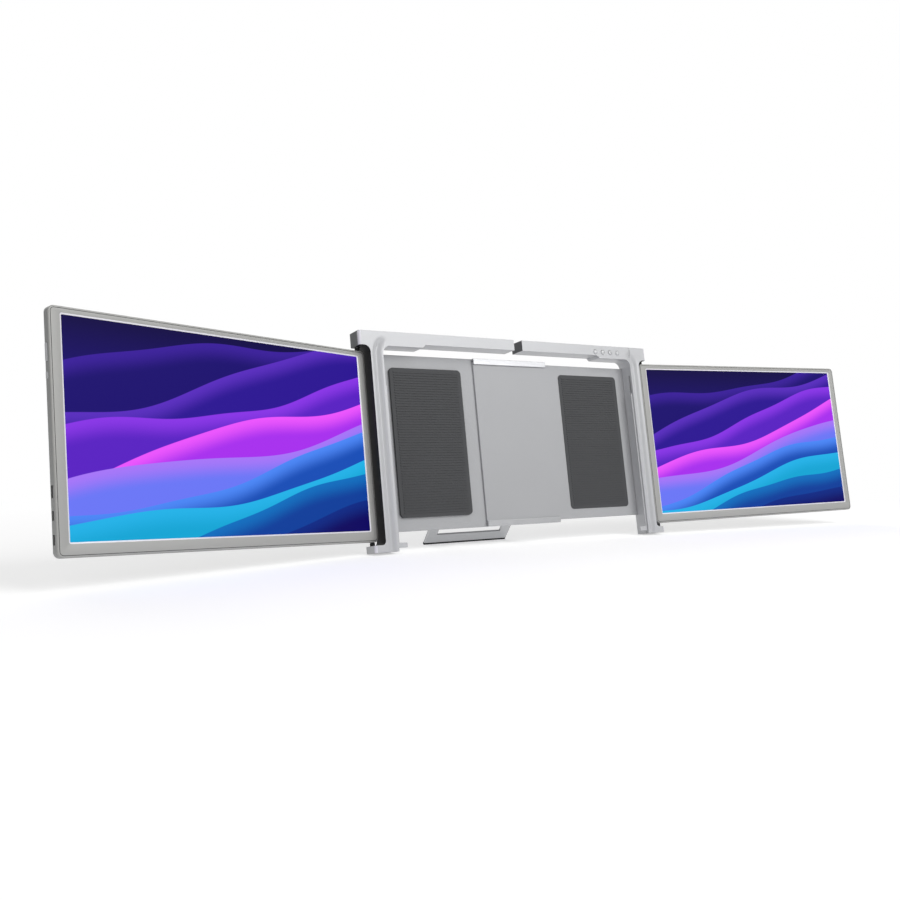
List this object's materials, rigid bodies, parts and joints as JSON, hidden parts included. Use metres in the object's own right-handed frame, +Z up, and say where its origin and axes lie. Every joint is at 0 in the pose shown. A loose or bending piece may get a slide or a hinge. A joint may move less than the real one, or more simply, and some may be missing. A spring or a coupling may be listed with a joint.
{
  "type": "laptop screen extender",
  "caption": "Telescoping frame that clips round a laptop lid, with a hinged side monitor on each side, spring clips, control buttons and a fold-out rear stand.",
  "frame": {"origin": "middle of the footprint, on the surface that the part stands on", "axes": "+X to the right as the user sees it, +Y away from the user, +Z up"},
  "size_m": [1.1336, 0.1542, 0.2472],
  "materials": {
    "silver_frame": "satin silver",
    "plate": "satin grey",
    "dark_cap": "satin black",
    "steel": "ground",
    "pad": "matte",
    "monitor_grey": "satin silver grey",
    "screen": "lit display",
    "light_guide": "clear sheet",
    "board": "printed board"
  },
  "bodies": {
    "left_half": {"left_frame": "silver_frame", "left_end_cap": "dark_cap", "left_foot_cap": "silver_frame", "left_hinge_pins": "steel", "left_hinge_bushes": "dark_cap", "left_clip_spring": "steel", "left_rear_plate": "plate", "upper_slide_rail": "silver_frame", "lower_slide_rail": "silver_frame", "left_lid_pad": "pad", "stand_brackets": "silver_frame", "stand_pin": "steel"},
    "right_half": {"right_frame": "silver_frame", "right_end_cap": "dark_cap", "right_foot_cap": "silver_frame", "right_hinge_pins": "steel", "right_hinge_bushes": "dark_cap", "right_clip_spring": "steel", "right_rear_plate": "plate", "right_lid_pad": "pad", "control_board": "board", "button_switches": "board"},
    "left_monitor": {"left_back_cover": "monitor_grey", "left_bezel": "monitor_grey", "left_screen": "screen", "left_light_guide": "light_guide", "left_driver_board": "board", "left_hinge_brackets": "steel", "left_port_shells": "steel", "left_cover_screws": "steel"},
    "right_monitor": {"right_back_cover": "monitor_grey", "right_bezel": "monitor_grey", "right_screen": "screen", "right_light_guide": "light_guide", "right_driver_board": "board", "right_hinge_brackets": "steel", "right_port_shells": "steel", "right_cover_screws": "steel"},
    "left_clip": {"left_clip": "silver_frame"},
    "right_clip": {"right_clip": "silver_frame"},
    "stand": {"stand_leg": "silver_frame", "stand_foot": "pad"},
    "left_rocker": {"left_rocker": "monitor_grey"},
    "right_rocker": {"right_rocker": "monitor_grey"},
    "left_power_key": {"left_power_key": "monitor_grey"},
    "right_power_key": {"right_power_key": "monitor_grey"},
    "button_1": {"button_1": "silver_frame"},
    "button_2": {"button_2": "silver_frame"},
    "button_3": {"button_3": "silver_frame"},
    "button_4": {"button_4": "silver_frame"}
  },
  "joints": [
    {"name": "frame_slide", "type": "slide", "parent": "left_half", "child": "right_half", "axis": [1, 0, 0], "range_m": [-0.012, 0.048]},
    {"name": "left_monitor_swing", "type": "hinge", "parent": "left_half", "child": "left_monitor", "pos_m": [-0.21742, 0.04235, 0.1227], "axis": [0, 0.1564, 0.9877], "range_deg": [-60.9, 79.1]},
    {"name": "right_monitor_swing", "type": "hinge", "parent": "right_half", "child": "right_monitor", "pos_m": [0.20558, 0.03248, 0.12426], "axis": [0, -0.1564, -0.9877], "range_deg": [-50.5, 89.5]},
    {"name": "left_clip_pull", "type": "slide", "parent": "left_half", "child": "left_clip", "axis": [0, -0.1564, -0.9877], "range_m": [0, 0.006], "stiffness_N_per_m": 150, "springref_m": -0.01},
    {"name": "right_clip_pull", "type": "slide", "parent": "right_half", "child": "right_clip", "axis": [0, -0.1564, -0.9877], "range_m": [0, 0.006], "stiffness_N_per_m": 150, "springref_m": -0.01},
    {"name": "stand_fold", "type": "hinge", "parent": "left_half", "child": "stand", "pos_m": [-0.06092, 0.0399, 0.05222], "axis": [1, 0, 0], "range_deg": [-14, 136]},
    {"name": "button_1_press", "type": "slide", "parent": "right_half", "child": "button_1", "axis": [0, 0.9877, -0.1564], "range_m": [0, 0.0005], "stiffness_N_per_m": 800, "springref_m": -0.0006},
    {"name": "button_2_press", "type": "slide", "parent": "right_half", "child": "button_2", "axis": [0, 0.9877, -0.1564], "range_m": [0, 0.0005], "stiffness_N_per_m": 800, "springref_m": -0.0006},
    {"name": "button_3_press", "type": "slide", "parent": "right_half", "child": "button_3", "axis": [0, 0.9877, -0.1564], "range_m": [0, 0.0005], "stiffness_N_per_m": 800, "springref_m": -0.0006},
    {"name": "button_4_press", "type": "slide", "parent": "right_half", "child": "button_4", "axis": [0, 0.9877, -0.1564], "range_m": [0, 0.0005], "stiffness_N_per_m": 800, "springref_m": -0.0006},
    {"name": "left_rocker_press", "type": "slide", "parent": "left_monitor", "child": "left_rocker", "axis": [0.9617, 0.2706, -0.0429], "range_m": [0, 0.0005], "stiffness_N_per_m": 800, "springref_m": -0.0006},
    {"name": "left_power_key_press", "type": "slide", "parent": "left_monitor", "child": "left_power_key", "axis": [0.9617, 0.2706, -0.0429], "range_m": [0, 0.0005], "stiffness_N_per_m": 800, "springref_m": -0.0006},
    {"name": "right_rocker_press", "type": "slide", "parent": "right_monitor", "child": "right_rocker", "axis": [-0.9954, 0.0947, -0.015], "range_m": [0, 0.0005], "stiffness_N_per_m": 800, "springref_m": -0.0006},
    {"name": "right_power_key_press", "type": "slide", "parent": "right_monitor", "child": "right_power_key", "axis": [-0.9954, 0.0947, -0.015], "range_m": [0, 0.0005], "stiffness_N_per_m": 800, "springref_m": -0.0006}
  ]
}
